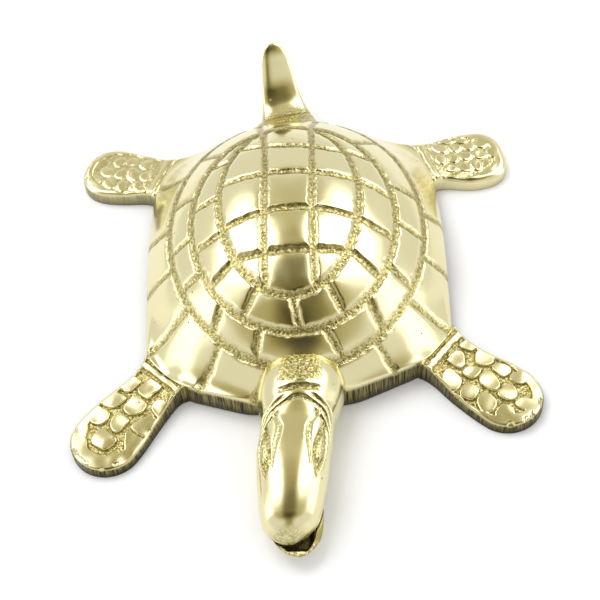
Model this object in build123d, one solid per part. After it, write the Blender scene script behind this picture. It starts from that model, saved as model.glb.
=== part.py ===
"""Cast brass turtle figurine, brazed together from separate castings.

Millimetres, +Z up, standing on z = 0. The head points along -Y and the tail along +Y.
The origin is at the middle of the footprint's bounding box, on the surface it stands on.
"""

import os
from math import atan2, cos, degrees, radians, sin

from build123d import *

# Driving dimensions of the shell
shell_width = 65.0
shell_front = 36.4
shell_rear = 37.8
shell_height = 25.0
shell_wall = 3.0
rim_height = 4.5
dome_overhang = 4.0
dome_length_ratio = 1.16
neck_edge_half = 11.0
tail_edge_half = 8.5

# Chased grooves that part the scutes on the shell, with each ring measured in from the rim
groove_width = 1.7
groove_depth = 0.8
ring_side_insets = (17.6, 10.7, 5.0)
ring_front_insets = (15.0, 8.6, 3.1)
ring_rear_insets = (11.4, 7.2, 2.8)
spine_half = 5.4
spine_row_pitch = 10.2
spine_first_row_inset = 23.6
band_joints = (9, 12, 13)

# How far the head and the tail stand out of the shell
head_reach = 34.4
tail_reach = 15.6
head_offset = -1.7
tail_turn = 11.0

# Neck: an oval plug in the shell's socket, a swollen collar and a waist behind the head
neck_width = 17.0
neck_height = 13.0
neck_axis_height = 7.4
neck_socket_depth = 3.4
collar_swell = 0.9
collar_forward = 2.4
waist_width = 14.8
waist_height = 12.2
waist_forward = 9.0

# Head: widest at the eyes, narrowing to a blunt snout
head_width = 14.8
head_height = 13.0
head_forward = 16.0
cheek_width = 13.6
cheek_height = 12.0
cheek_setback = 10.9
muzzle_width = 11.2
muzzle_height = 10.2
muzzle_setback = 5.0
snout_width = 8.2
snout_height = 7.6
snout_setback = 1.6
snout_end_width = 4.2
snout_end_height = 3.4
head_drop = 0.6
eye_length = 11.0
eye_width = 3.4
eye_proud = 0.6
eye_forward = 16.7
eye_angle = 42.0

# Mouth and the lower jaw under it
mouth_height = 6.2
mouth_gap = 1.4
mouth_length = 13.0
jaw_underbite = 1.6
jaw_tenon_diameter = 2.4
jaw_tenon_axis_height = 3.8
jaw_tenon_length = 4.0

# Tail: a flat horn that rises to its tip
tail_width = 12.0
tail_thickness = 7.0
tail_socket_depth = 5.0
tail_rise = 11.3
tail_tip_width = 4.6
tail_tip_thickness = 2.8

# Flippers, each filed by hand to its own length and set at its own angle from square. The
# roots are measured in from the shell's side and back from its front or rear
flipper_thickness = 4.1
front_root_width = 11.6
front_blade_width = 14.0
front_root_inset = 4.2
front_right_setback = 9.4
front_right_length = 25.2
front_right_angle = -39.0
front_left_setback = 8.8
front_left_length = 27.0
front_left_angle = -51.5
rear_root_width = 12.0
rear_blade_width = 13.6
rear_root_inset = 3.3
rear_right_setback = 12.6
rear_right_length = 20.0
rear_right_angle = 10.0
rear_left_setback = 12.0
rear_left_length = 20.8
rear_left_angle = 16.0

# Chased relief on the flippers: two root grooves, round scales and an arc near the tip
relief_groove = 1.1
relief_depth = 0.7
root_groove_pitch = 3.2
round_scales = 4
tip_border = 2.6

# Tenons that pass through the shell's wall, and the braze beads around their ends
tenon_clearance = 0.05
round_tenon_diameter = 6.0
round_tenon_axis_height = 6.4
flat_tenon_width = 7.0
flat_tenon_height = 2.0
flat_tenon_axis_height = 2.3
flat_tenon_wall = 8.5
tenon_stand_out = 1.6
bead_width = 1.0
bead_height = 1.2
bead_clearance = 0.3

# Values worked out from the driving dimensions
nose_reach = head_reach + jaw_underbite
horn_reach = tail_reach * cos(radians(tail_turn)) + tail_tip_width / 4 * sin(radians(tail_turn))
shell_y = (nose_reach + shell_front - horn_reach - shell_rear) / 2
front_y = shell_y - shell_front
rear_y = shell_y + shell_rear
snout_y = front_y - head_reach
jaw_heel_y = snout_y + mouth_length
neck_seat_y = front_y + neck_socket_depth
tail_seat_y = rear_y - tail_socket_depth
far = 4 * (shell_front + shell_rear)
dome_half = shell_width / 2 + dome_overhang
ring_side = [shell_width / 2 - inset for inset in ring_side_insets]
ring_front = [shell_front - inset for inset in ring_front_insets]
ring_rear = [shell_rear - inset for inset in ring_rear_insets]
front_x = shell_width / 2 - front_root_inset
rear_x = shell_width / 2 - rear_root_inset
front_sizes = (front_root_width, front_blade_width)
rear_sizes = (rear_root_width, rear_blade_width)

# Each flipper: its side, its root from the shell's centre, its angle, length and widths
flippers = {
    "front_right": (
        1, front_x, front_right_setback - shell_front, front_right_angle, front_right_length, *front_sizes
    ),
    "front_left": (
        -1, front_x, front_left_setback - shell_front, front_left_angle, front_left_length, *front_sizes
    ),
    "rear_right": (
        1, rear_x, shell_rear - rear_right_setback, rear_right_angle, rear_right_length, *rear_sizes
    ),
    "rear_left": (
        -1, rear_x, shell_rear - rear_left_setback, rear_left_angle, rear_left_length, *rear_sizes
    ),
}


def turned(angle):
    """Unit vector in plan at an angle from +X."""
    return Vector(cos(radians(angle)), sin(radians(angle)))


def at_shell(x, y):
    """Location of a point on the ground, given from the shell's centre."""
    return Pos(x, shell_y + y, 0)


def blade_angle(side, angle):
    """Direction of a flipper's blade in plan, from +X."""
    return angle if side > 0 else 180 - angle


def flipper_frame(side, x, y, angle):
    """Location at the middle of a flipper's root, with +X along its blade."""
    return at_shell(side * x, y) * Rot(0, 0, blade_angle(side, angle))


# Shell: a hollow dome on a rim, with sockets for the head, the tail and the flippers


def seat_corners(side, x, y, angle, length, width, blade_width):
    """Ends of a flipper's seat in plan from the shell's centre, the forward one first."""
    across = turned(blade_angle(side, angle) + 90) * (side * width / 2)
    middle = Vector(side * x, y)
    return middle - across, middle + across


def outline_half(side, front, rear):
    """Edge of the rim on one side: blunt ends, straight seats for the flippers, a bowed flank."""
    front_in, front_out = seat_corners(*flippers[front])
    rear_out, rear_in = seat_corners(*flippers[rear])
    flank_mid = Vector(side * shell_width / 2, (front_out.Y + rear_out.Y) / 2)
    neck_corner = Vector(side * neck_edge_half, -shell_front)
    tail_corner = Vector(side * tail_edge_half, shell_rear)
    return [
        Line((0, -shell_front), neck_corner),
        Line(neck_corner, front_in),
        Line(front_in, front_out),
        ThreePointArc(front_out, flank_mid, rear_out),
        Line(rear_out, rear_in),
        Line(rear_in, tail_corner),
        Line(tail_corner, (0, shell_rear)),
    ]


def shell_outline():
    """Plan of the shell's rim."""
    right = outline_half(1, "front_right", "rear_right")
    left = outline_half(-1, "front_left", "rear_left")
    return at_shell(0, 0) * make_face(right + left)


def dome(inset):
    """Elliptical cap that lies this far inside the outer dome, with its base on z = 0."""
    half = dome_half - inset
    rise = shell_height - inset
    shoulder = half / 2
    radius = (half**2 + rise**2) / (2 * rise)
    shoulder_z = (radius**2 - shoulder**2) ** 0.5 - (radius - rise)
    profile = (
        Line((0, 0), (half, 0))
        + ThreePointArc((half, 0), (shoulder, shoulder_z), (0, rise))
        + Line((0, rise), (0, 0))
    )
    cap = revolve(make_face(Plane.XZ * profile), Axis.Z)
    return at_shell(0, 0) * scale(cap, by=(1, dome_length_ratio, 1))


def ring_plan(ring, grow=0.0):
    """Plan of one scute ring's centre line, grown outwards, from the shell's centre."""
    middle = (ring_rear[ring] - ring_front[ring]) / 2
    half_length = (ring_rear[ring] + ring_front[ring]) / 2
    return Pos(0, middle) * Ellipse(ring_side[ring] + grow, half_length + grow)


def scute_grooves():
    """Plan of all chased grooves: rings, staggered joints between them, and the spine's grid."""
    plan = Sketch()
    half_groove = groove_width / 2
    for ring in range(len(ring_side)):
        plan += ring_plan(ring, half_groove) - ring_plan(ring, -half_groove)
    inner = ring_plan(0)
    for side in (-1, 1):
        plan += inner & (Pos(side * spine_half, 0) * Rectangle(groove_width, far))
    row_y = spine_first_row_inset - shell_front
    while row_y < ring_rear[0]:
        plan += inner & (Pos(0, row_y) * Rectangle(far, groove_width))
        row_y += spine_row_pitch
    for ring, joints in enumerate(band_joints):
        last = ring + 1 == len(band_joints)
        band = ring_plan(ring, far) if last else ring_plan(ring + 1)
        spokes = Sketch()
        for joint in range(joints):
            turn = Rot(0, 0, -90 + 360 / joints * (joint + 0.5))
            spokes += turn * Pos(far / 2, 0) * Rectangle(far, groove_width)
        plan += spokes & (band - ring_plan(ring))
    return at_shell(0, 0) * plan


def half_space(angle, distance):
    """Everything on the inner side of an upright plane this far from the shell's centre."""
    return at_shell(0, 0) * Rot(0, 0, angle) * Pos(distance - far / 2, 0, 0) * Box(far, far, far)


def shell_hollow():
    """The open hollow under the shell, with a flat inner wall behind every socket."""
    flank = shell_width / 2 - shell_wall
    walls = [
        (-90, shell_front - neck_socket_depth - shell_wall),
        (90, shell_rear - tail_socket_depth - shell_wall),
        (0, flank),
        (180, flank),
    ]
    for side, x, y, angle, *_ in flippers.values():
        direction = blade_angle(side, angle)
        seat = Vector(side * x, y).dot(turned(direction))
        walls.append((direction, seat - flat_tenon_wall))
    hollow = dome(shell_wall)
    for direction, distance in walls:
        hollow &= half_space(direction, distance)
    return hollow


def bead_room():
    """Room for the tenons' ends and their beads, down to the open underside."""
    depth = 2 * tenon_stand_out
    grown = 2 * (bead_width + bead_clearance)
    round_width = round_tenon_diameter + grown
    round_top = round_tenon_axis_height + round_width / 2
    round_box = Box(round_width, depth, round_top, align=(Align.CENTER, Align.CENTER, Align.MIN))
    neck_wall_y = neck_seat_y + shell_wall
    tail_wall_y = tail_seat_y - shell_wall
    room = Pos(0, neck_wall_y + depth / 2, 0) * round_box
    room += Pos(0, tail_wall_y - depth / 2, 0) * round_box
    flat_top = flat_tenon_axis_height + (flat_tenon_height + grown) / 2
    flat_box = Box(depth, flat_tenon_width + grown, flat_top, align=(Align.MAX, Align.CENTER, Align.MIN))
    for side, x, y, angle, *_ in flippers.values():
        room += flipper_frame(side, x, y, angle) * Pos(-flat_tenon_wall, 0, 0) * flat_box
    return room


def along_y(section, start, stop, height):
    """A section drawn across the part's length, extruded from one y to another."""
    low, high = min(start, stop), max(start, stop)
    place = Plane((0, low, height), x_dir=(-1, 0, 0), z_dir=(0, 1, 0))
    return extrude(place * section, high - low)


def round_tenon(seat, inward, clearance):
    """Tenon of the head or the tail, from its seat through the shell's wall."""
    stop = seat + inward * (shell_wall + tenon_stand_out)
    section = Circle(round_tenon_diameter / 2 + clearance)
    return along_y(section, seat, stop, round_tenon_axis_height)


def flat_tenon(clearance):
    """Tenon of a flipper in its own frame, from inside its root through the shell's wall."""
    inner = flat_tenon_wall + tenon_stand_out
    length = inner + relief_groove
    width = flat_tenon_width + 2 * clearance
    height = flat_tenon_height + 2 * clearance
    return Pos(length / 2 - inner, 0, flat_tenon_axis_height) * Box(length, width, height)


def neck_plug(clearance, front):
    """The neck's root, which sits in the socket at the shell's front."""
    section = Ellipse(neck_width / 2 + clearance, neck_height / 2 + clearance)
    return along_y(section, front, neck_seat_y, neck_axis_height)


def tail_plug(clearance, rear):
    """The tail's root, which sits in the socket at the shell's rear."""
    section = Ellipse(tail_width / 2 + clearance, tail_thickness / 2 + clearance)
    return along_y(section, tail_seat_y, rear, round_tenon_axis_height)


def make_shell():
    outline = shell_outline()
    body = extrude(outline, rim_height) + (dome(0) & extrude(outline, shell_height))
    body -= extrude(scute_grooves(), shell_height) - dome(groove_depth)
    body -= shell_hollow() + bead_room()
    body -= neck_plug(tenon_clearance, snout_y)
    body -= tail_plug(tenon_clearance, rear_y + tail_reach)
    body -= round_tenon(neck_seat_y, 1, tenon_clearance)
    body -= round_tenon(tail_seat_y, -1, tenon_clearance)
    for side, x, y, angle, *_ in flippers.values():
        body -= flipper_frame(side, x, y, angle) * flat_tenon(tenon_clearance)
    return body


# Head, lower jaw and tail: lofts through ovals that stand across the part's length


def oval(x, y, width, height, z):
    """An oval that stands across the part's length."""
    place = Plane((x, y, z), x_dir=(1, 0, 0), z_dir=(0, -1, 0))
    return place * Ellipse(width / 2, height / 2)


def head_blank():
    """Neck and head ahead of the shell, with the mouth still closed."""
    axis = neck_axis_height
    collar_width = neck_width + collar_swell
    collar_height = neck_height + collar_swell
    stations = [
        (0.0, neck_width, neck_height, axis),
        (collar_forward, collar_width, collar_height, axis),
        (waist_forward, waist_width, waist_height, axis),
        (head_forward, head_width, head_height, axis),
        (head_reach - cheek_setback, cheek_width, cheek_height, axis),
        (head_reach - muzzle_setback, muzzle_width, muzzle_height, axis - head_drop),
        (head_reach - snout_setback, snout_width, snout_height, axis - 2 * head_drop),
        (head_reach, snout_end_width, snout_end_height, axis - 3 * head_drop),
    ]
    sections = []
    for ahead, width, height, z in stations:
        x = head_offset * min(1, ahead / head_forward)
        sections.append(oval(x, front_y - ahead, width, height, z))
    return loft(sections)


def eye(side):
    """Almond-shaped boss on the side of the brow."""
    x = head_offset + side * head_width / 2 * sin(radians(eye_angle))
    z = neck_axis_height + head_height / 2 * cos(radians(eye_angle))
    almond = scale(Sphere(1), by=(eye_width / 2, eye_length / 2, eye_proud))
    return Pos(x, front_y - eye_forward, z) * Rot(0, side * eye_angle, 0) * almond


def mouth_space():
    """Everything below the mouth and ahead of the lower jaw's heel."""
    block = Box(far, far, mouth_height, align=(Align.CENTER, Align.MAX, Align.MIN))
    return Pos(0, jaw_heel_y, 0) * block


def jaw_tenon(clearance):
    """Dowel on the lower jaw's heel that sits in the head."""
    section = Circle(jaw_tenon_diameter / 2 + clearance)
    dowel = along_y(section, jaw_heel_y, jaw_heel_y + jaw_tenon_length, jaw_tenon_axis_height)
    return Pos(head_offset, 0, 0) * dowel


def make_head():
    skull = head_blank() + eye(-1) + eye(1) - mouth_space() - jaw_tenon(tenon_clearance)
    root = neck_plug(0, front_y) + round_tenon(neck_seat_y, 1, 0)
    return skull + root


def make_lower_jaw():
    """The lower part of the muzzle, drawn forward and dropped open at the snout."""
    drop = degrees(atan2(mouth_gap, mouth_length))
    block = Box(far, far, far, align=(Align.CENTER, Align.MAX, Align.MAX))
    below = Pos(0, jaw_heel_y, mouth_height) * Rot(drop, 0, 0) * block
    chin = Pos(0, -jaw_underbite, 0) * head_blank()
    return (chin & below & mouth_space()) + jaw_tenon(0)


def make_tail():
    axis = round_tenon_axis_height
    stations = [
        (1.0, tail_tip_width / 2, tail_tip_thickness / 2, axis + tail_rise),
        (0.86, tail_tip_width, tail_tip_thickness, axis + tail_rise * 0.84),
        (0.4, tail_width * 0.78, tail_thickness * 0.72, axis + tail_rise * 0.3),
        (0.0, tail_width, tail_thickness, axis),
    ]
    horn = loft([oval(0, rear_y + tail_reach * t, w, h, z) for t, w, h, z in stations])
    horn = Pos(0, rear_y, 0) * Rot(0, 0, tail_turn) * Pos(0, -rear_y, 0) * horn
    return horn + tail_plug(0, rear_y) + round_tenon(tail_seat_y, -1, 0)


# Flippers: flat paddles with chased tops, and a tenon at the root


def blade_outline(length, root_width, blade_width):
    """Plan of a flipper from its root line to its round tip."""
    root = root_width / 2
    blade = blade_width / 2
    shoulder = length - blade
    edge = Spline((0, root), (shoulder, blade), tangents=((1, 0), (1, 0)))
    tip = ThreePointArc((shoulder, blade), (length, 0), (shoulder, -blade))
    back = Spline((shoulder, -blade), (0, -root), tangents=((-1, 0), (-1, 0)))
    return make_face(edge + tip + back + Line((0, -root), (0, root)))


def blade_grooves(length, blade_width):
    """Plan of the grooves on a flipper's top face."""
    blade = blade_width / 2
    shoulder = length - blade
    half_groove = relief_groove / 2
    plan = Sketch()
    for step in (0.5, 1.5):
        plan += Pos(root_groove_pitch * step, 0) * Rectangle(relief_groove, far)
    arc_radius = blade - tip_border
    arc = Circle(arc_radius + half_groove) - Circle(arc_radius - half_groove)
    ahead = Pos(far / 2, 0) * Rectangle(far, far)
    plan += Pos(shoulder, 0) * (arc & ahead)
    start = 2 * root_groove_pitch
    pitch = (shoulder + arc_radius - start) / round_scales
    ring = Circle(pitch / 2 + half_groove) - Circle(pitch / 2 - half_groove)
    for row in range(round_scales):
        u = start + pitch * (row + 0.5)
        plan += Pos(u, 0) * ring
        if u < shoulder:
            notch = Rectangle(relief_groove, blade)
            plan += Pos(u, (pitch + blade) / 2) * notch
            plan += Pos(u, -(pitch + blade) / 2) * notch
    return plan


def make_flipper(side, x, y, angle, length, root_width, blade_width):
    body = extrude(blade_outline(length, root_width, blade_width), flipper_thickness)
    grooves = extrude(blade_grooves(length, blade_width), flipper_thickness)
    body -= Pos(0, 0, flipper_thickness - relief_depth) * grooves
    return flipper_frame(side, x, y, angle) * (body + flat_tenon(0))


# Braze beads that hold the tenons on the inside of the shell


def flat_bead(side, x, y, angle):
    grown = 2 * bead_width
    ring = Box(bead_height, flat_tenon_width + grown, flat_tenon_height + grown)
    ring -= Box(bead_height, flat_tenon_width, flat_tenon_height)
    place = Pos(-flat_tenon_wall - bead_height / 2, 0, flat_tenon_axis_height)
    return flipper_frame(side, x, y, angle) * place * ring


def round_bead(seat, inward):
    start = seat + inward * shell_wall
    radius = round_tenon_diameter / 2
    section = Circle(radius + bead_width) - Circle(radius)
    return along_y(section, start, start + inward * bead_height, round_tenon_axis_height)


def make_parts():
    """Every piece of the figurine by its name."""
    parts = {
        "shell": make_shell(),
        "head": make_head(),
        "lower_jaw": make_lower_jaw(),
        "tail": make_tail(),
        "neck_braze_bead": round_bead(neck_seat_y, 1),
        "tail_braze_bead": round_bead(tail_seat_y, -1),
    }
    for name, row in flippers.items():
        parts[f"{name}_flipper"] = make_flipper(*row)
        parts[f"{name}_braze_bead"] = flat_bead(*row[:4])
    return parts


os.makedirs("parts", exist_ok=True)
for name, part in make_parts().items():
    export_step(part, f"parts/{name}.step")
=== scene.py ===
import bpy
import numpy as np
from mathutils import Matrix, Vector


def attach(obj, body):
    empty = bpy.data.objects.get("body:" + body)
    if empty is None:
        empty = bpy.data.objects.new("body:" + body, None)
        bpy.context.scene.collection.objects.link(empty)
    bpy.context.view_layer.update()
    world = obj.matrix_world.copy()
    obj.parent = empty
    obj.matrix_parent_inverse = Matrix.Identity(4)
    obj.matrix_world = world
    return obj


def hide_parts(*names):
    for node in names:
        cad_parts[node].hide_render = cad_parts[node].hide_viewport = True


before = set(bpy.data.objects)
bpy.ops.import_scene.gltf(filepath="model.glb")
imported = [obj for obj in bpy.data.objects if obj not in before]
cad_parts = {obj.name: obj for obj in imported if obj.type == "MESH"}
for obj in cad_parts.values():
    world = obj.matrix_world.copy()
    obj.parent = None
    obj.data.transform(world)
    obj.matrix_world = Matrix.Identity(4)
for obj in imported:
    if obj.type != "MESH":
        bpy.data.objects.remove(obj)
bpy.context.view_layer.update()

# Shell: one hollow brass casting, a dome on a flat rim, open underneath. Its scutes are parted by
# grooves that were chased by hand, so their bottoms are matted and their edges wander. The top is
# polished and the rim's edge is left as it came off the grinder.
shell_y = 9.53
rim_height = 4.5
rim_round = 1.5
front_lift = 1.8
dome_half = 36.5
dome_rise = 25.0
dome_stretch = 1.16
neck_end = (11.0, -36.4)
tail_end = (8.5, 37.8)
flank_half = 32.5
left_flank_wider = 0.6
shell_wall = 3.0
groove_half = 0.66
groove_depth = 0.55

# Each flipper's seat on the rim: its middle from the shell's centre, the blade's direction from +X
# in degrees, and the root's width
seats = {
    "front_right": (28.3, -27.0, -39.0, 11.6),
    "front_left": (-28.3, -27.6, 231.5, 11.6),
    "rear_right": (29.2, 25.2, 10.0, 12.0),
    "rear_left": (-29.2, 25.8, 164.0, 12.0),
}

# How far each end of a seat stands off the straight seat line, as the rim was filed: x and y
rim_corners = {
    "front_right": ((0.9, 1.1), (0.2, 0.2)),
    "front_left": ((-0.2, 0.0), (-1.5, -1.7)),
    "rear_right": ((1.9, 0.2), (0.0, 0.0)),
    "rear_left": ((0.0, 0.0), (-1.6, 0.0)),
}
neck_corner_left = -1.4

# Rings of scutes: centre x and y, half width and half length
scute_rings = [(-0.6, 2.5, 14.9, 24.2), (0.0, -0.7, 21.8, 27.5), (0.4, 0.5, 27.5, 34.4)]
# Joints between the rings, inner and outer end, in degrees from the head and positive to the right
scute_joints = [
    [(-106, -98), (-69, -70), (-44, -47), (-22, -25), (-2, 1), (19, 21), (43, 46), (73, 70),
     (115, 99), (144, 129), (-140, -130), (176, 176)],
    [(-111, -106), (-81, -79), (-57, -59), (-37, -35), (-16, -16), (11, 15), (34, 33), (54, 55),
     (83, 81), (111, 104), (146, 142), (-142, -138), (170, 170), (-166, -168)],
    [(-95, -94), (-72, -76), (-51, -55), (-31, -32), (-10, -17), (10, 14), (29, 31), (50, 56),
     (72, 76), (96, 97), (-127, -125), (164, 165), (-164, -165)],
]
# Cross joints inside the first ring: y at the middle, tilt and bow
spine_rows = [(17.4, -0.15, 0.0), (7.9, -0.05, -1.0), (-2.5, 0.0, -2.0), (-12.5, 0.0, -0.2)]
spine_lines = (-5.8, 4.4)
# How far the spine lines wander and over what length, and the half width that a row's bow is for
spine_wave = (0.4, 9.0)
row_half = 14.0


def ease(value, low, high):
    """0 at low, 1 at high, and the smooth step 3t^2 - 2t^3 between them."""
    t = np.clip((value - low) / (high - low), 0, 1)
    return t * t * (3 - 2 * t)


def ripple(x, y, pitch, seed):
    """Seeded unevenness, about -1 to 1: a sum of 14 sine waves near this pitch, each its own way."""
    draw = np.random.default_rng(seed)
    total = np.zeros_like(x)
    for way, phase, stretch in draw.uniform(0, 1, (14, 3)):
        turn = 2 * np.pi * way
        wave = pitch * (0.7 + 0.7 * stretch)
        total += np.sin(2 * np.pi * ((x * np.cos(turn) + y * np.sin(turn)) / wave + phase))
    return total / 14**0.5


def seat_ends(x, y, direction, width):
    """The two ends of a flipper's seat, the clockwise one first: middle -+ half the width across."""
    across = np.radians(direction + 90)
    half = np.array([np.cos(across), np.sin(across)]) * width / 2
    return np.array([x, y]) - half, np.array([x, y]) + half


def bowed(start, stop, reach):
    """A parabola from start to stop that passes x = reach at its middle."""
    t = np.linspace(0, 1, 60)[:, None]
    middle = np.array([2 * reach - (start[0] + stop[0]) / 2, (start[1] + stop[1]) / 2])
    return (1 - t) ** 2 * start + 2 * t * (1 - t) * middle + t**2 * stop


# The rim's corners are rounded over this length, taken at the rim's mean radius
corner_round = 1.5
rim_mean = 35.0


def rim_radius(turn):
    """The rim's distance from the shell's centre at each angle: straight seats and blunt ends, bowed
    flanks, all sampled along their runs, read by angle and rounded at the corners over some 2 mm."""
    front_right, front_left, rear_right, rear_left = (
        seat_ends(*seats[name]) + np.array(rim_corners[name]) for name in seats
    )
    mirror = np.array([-1, 1])
    corners = np.concatenate([
        [neck_end, front_right[0]],
        bowed(front_right[1], rear_right[0], flank_half),
        [rear_right[1], tail_end, tail_end * mirror, rear_left[0]],
        bowed(rear_left[1], front_left[0], -flank_half - left_flank_wider),
        [front_left[1], neck_end * mirror + (0, neck_corner_left)],
    ])
    share = np.linspace(0, 1, 40, endpoint=False)[:, None, None]
    runs = corners + share * (np.roll(corners, -1, axis=0) - corners)
    x, y = runs.reshape(-1, 2).T
    angle = np.arctan2(y, x)
    order = np.argsort(angle)
    radius = np.interp(turn, angle[order], np.hypot(x, y)[order], period=2 * np.pi)
    offset = np.minimum(np.arange(len(turn)), len(turn) - np.arange(len(turn)))
    blur = np.exp(-((offset * np.median(np.diff(turn)) * rim_mean / corner_round) ** 2) / 2)
    return np.fft.ifft(np.fft.fft(radius) * np.fft.fft(blur / blur.sum())).real


def dome_height(x, y, inset=0.0):
    """An elliptical cap: sqrt(R^2 - x^2 - (y / stretch)^2) - (R - rise), shrunk by the inset."""
    half = dome_half - inset
    rise = dome_rise - inset
    radius = (half**2 + rise**2) / (2 * rise)
    return np.sqrt(np.maximum(radius**2 - x**2 - (y / dome_stretch) ** 2, 0)) - (radius - rise)


def ring_distance(x, y, ring):
    """Signed distance to an ellipse, nearly: (q - 1) over the slope of q, q = 1 being the ellipse."""
    cx, cy, half_width, half_length = scute_rings[ring]
    q = np.hypot((x - cx) / half_width, (y - cy) / half_length) + 1e-6
    slope = np.hypot((x - cx) / half_width**2, (y - cy) / half_length**2) / q + 1e-6
    return (q - 1) / slope


# The outermost joints run out beyond the rim
past_rim = 42.0


def on_ring(ring, from_head):
    """Where the ray from the shell's centre at this angle crosses a ring, or the rim after the last:
    the far root of the ray put into the ellipse."""
    way = np.array([np.sin(np.radians(from_head)), -np.cos(np.radians(from_head))])
    if ring == len(scute_rings):
        return way * past_rim
    centre = np.array(scute_rings[ring][:2])
    half = np.array(scute_rings[ring][2:])
    square = (way**2 / half**2).sum()
    middle = (way * centre / half**2).sum()
    rest = (centre**2 / half**2).sum() - 1
    return way * (middle + np.sqrt(middle**2 - square * rest)) / square


def line_distance(x, y, start, stop):
    """Distance to a straight run: to the nearest of its points start + t (stop - start), t in 0-1."""
    run = stop - start
    t = np.clip(((x - start[0]) * run[0] + (y - start[1]) * run[1]) / (run @ run), 0, 1)
    return np.hypot(x - start[0] - t * run[0], y - start[1] - t * run[1])


def chased_lines(x, y):
    """Distance in plan to the nearest chased groove: rings, joints, spine lines and cross joints."""
    first = ring_distance(x, y, 0)
    near = np.abs(first)
    wave = spine_wave[0] * np.sin(y / spine_wave[1])
    for line in spine_lines:
        near = np.minimum(near, np.maximum(np.abs(x - line - wave), first))
    for middle, tilt, bow in spine_rows:
        row = middle + tilt * x + bow * (x / row_half) ** 2
        near = np.minimum(near, np.maximum(np.abs(y - row), first))
    for ring, joints in enumerate(scute_joints):
        near = np.minimum(near, np.abs(ring_distance(x, y, ring)))
        for inner, outer in joints:
            run = line_distance(x, y, on_ring(ring, inner), on_ring(ring + 1, outer))
            near = np.minimum(near, run)
    return near


# How far a groove's wall runs outside and inside its edge, and how far the edge wanders at what pitch
groove_walls = (0.38, 0.34)
edge_wander = (0.10, 2.2)


def chase(distance, x, y, half_width, seed):
    """How far a point lies in a groove, 0 to 1, with sloping walls and an edge that wanders."""
    amount, pitch = edge_wander
    edge = half_width + amount * ripple(x, y, pitch, seed)
    return ease(distance, edge + groove_walls[0], edge - groove_walls[1])


# Blend of dome and rim, what a seat adds to it, and how far that reaches in degrees
rim_blend = (3.0, 6.0, 13.0)
# The filed front of the rim beside the neck: its middle and spread in degrees from the head
filed_front = (28.0, 14.5)
# How much less the rim's edge is rounded where it is filed, and a seat's half width there in degrees
filed_edge = (1.25, 9.5)


def near_seats(turn, half, power):
    """1 at the middle of each flipper's seat, falling beside it: exp(-|d / half|^n), d in degrees."""
    total = 0 * turn
    for x, y, *_ in seats.values():
        off = np.degrees(np.angle(np.exp(1j * (turn - np.arctan2(y, x)))))
        total = total + np.exp(-np.abs(off / half) ** power)
    return total


def beside_neck(turn):
    """1 along the rim's front between the neck and a flipper, falling beside it:
    exp(-|(d - middle) / spread|^6), d in degrees from the head."""
    off = np.abs(np.degrees(np.angle(np.exp(1j * (turn + np.pi / 2)))))
    middle, spread = filed_front
    return np.exp(-np.abs((off - middle) / spread) ** 6)


def shell_body(x, y):
    """Height of the shell's top before chasing: dome and rim blended over 3 mm, or up to 9 mm at the
    flippers, where the dome runs out into them. The rim's front stands higher beside the neck."""
    turn = np.arctan2(y, x)
    dome = dome_height(x, y)
    rim = rim_height + front_lift * beside_neck(turn)
    plain, more, spread = rim_blend
    wide = plain + more * near_seats(turn, spread, 2)
    blend = np.maximum(wide - np.abs(dome - rim), 0) / wide
    return np.maximum(dome, rim) + blend**2 * wide / 4


# Punch marks in the grooves and waves in the polished top: height and pitch. Wear of the scutes' edges:
# depth, and the length over which it fades
punch_marks = (0.03, 0.8)
polish_waves = (0.022, 7.0)
scute_wear = (0.10, 0.7)


def shell_top(x, y):
    """Height and groove depth of the shell's upper side: its body less the grooves, the softened
    scute edges beside them, and the hand polish's unevenness."""
    distance = chased_lines(x, y)
    groove = chase(distance, x, y, groove_half, 11)
    depth = groove_depth + punch_marks[0] * ripple(x, y, punch_marks[1], 12)
    height = shell_body(x, y) - groove * depth
    height -= scute_wear[0] * np.exp(-np.maximum(distance - groove_half, 0) / scute_wear[1])
    return height - polish_waves[0] * (1 + ripple(x, y, polish_waves[1], 13)), groove


# The hollow's flat walls: at the neck, at the tail, and inwards from each flipper's seat. Elsewhere it
# ends at this share of the inner dome's foot
hollow_front = 30.0
hollow_rear = 29.8
hollow_seat = 8.5
hollow_foot = 0.985
sole_chamfer = 0.4
hollow_chamfer = 0.5


def hollow_radius(turn):
    """The hollow's plan by angle: the nearest of its flat walls, distance / cos(angle to the wall),
    within the foot of the inner dome."""
    flank = flank_half - shell_wall
    walls = [(-90, hollow_front), (90, hollow_rear), (0, flank), (180, flank)]
    for x, y, direction, _ in seats.values():
        way = np.radians(direction)
        walls.append((direction, x * np.cos(way) + y * np.sin(way) - hollow_seat))
    half = dome_half - shell_wall
    foot = 1 / np.hypot(np.cos(turn) / half, np.sin(turn) / (half * dome_stretch)) * hollow_foot
    for direction, reach in walls:
        facing = np.maximum(np.cos(turn - np.radians(direction)), 0.05)
        foot = np.minimum(foot, reach / facing)
    return foot


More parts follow.
